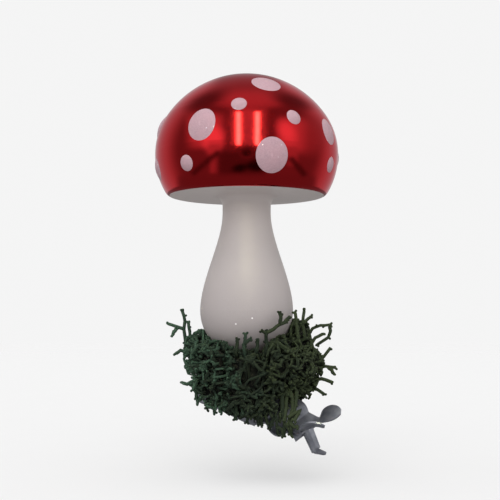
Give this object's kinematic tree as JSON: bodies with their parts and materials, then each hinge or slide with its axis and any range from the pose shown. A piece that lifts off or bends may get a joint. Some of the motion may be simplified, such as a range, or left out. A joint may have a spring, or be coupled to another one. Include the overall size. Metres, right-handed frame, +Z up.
{
  "type": "clip-on glass mushroom ornament",
  "caption": "Blown-glass toadstool with a red dotted cap and pale stem, cemented to a sprung metal clip with a moss collar; the clip's jaws open to grip a twig.",
  "frame": {"origin": "centre of the round hollow in which the clip's two jaws hold a twig", "axes": "+Z up, parallel to the mushroom's axis; the claws point towards +X and down, the twig lies near Y"},
  "size_m": [0.0614, 0.0603, 0.1224],
  "materials": {
    "white_glass": "satin",
    "red_lacquer": "polished",
    "glitter_paint": "matte",
    "tinplate": "satin",
    "cement": "matte",
    "zinc_steel": "satin",
    "spring_wire": "satin",
    "hot_glue": "satin",
    "moss": "matte"
  },
  "bodies": {
    "ornament": {"glass_body": "white_glass", "cap_lacquer": "red_lacquer", "cap_spots": "glitter_paint", "neck_sleeve": "tinplate", "neck_cement": "cement", "upper_lever": "zinc_steel", "hinge_pin": "zinc_steel", "torsion_spring": "spring_wire", "moss_glue": "hot_glue", "moss_front": "moss", "moss_front_left": "moss", "moss_left": "moss", "moss_back_left": "moss", "moss_back": "moss", "moss_back_right": "moss", "moss_right": "moss"},
    "lower_jaw": {"lower_lever": "zinc_steel"}
  },
  "joints": [
    {"name": "jaw_hinge", "type": "hinge", "parent": "ornament", "child": "lower_jaw", "pos_m": [-0.01175, 0, 0.00428], "axis": [0.1057, 0.9511, 0.2904], "range_deg": [0, 28], "stiffness_Nm_per_rad": 0.15, "springref_deg": -28.65, "deforming": ["torsion_spring"]}
  ]
}
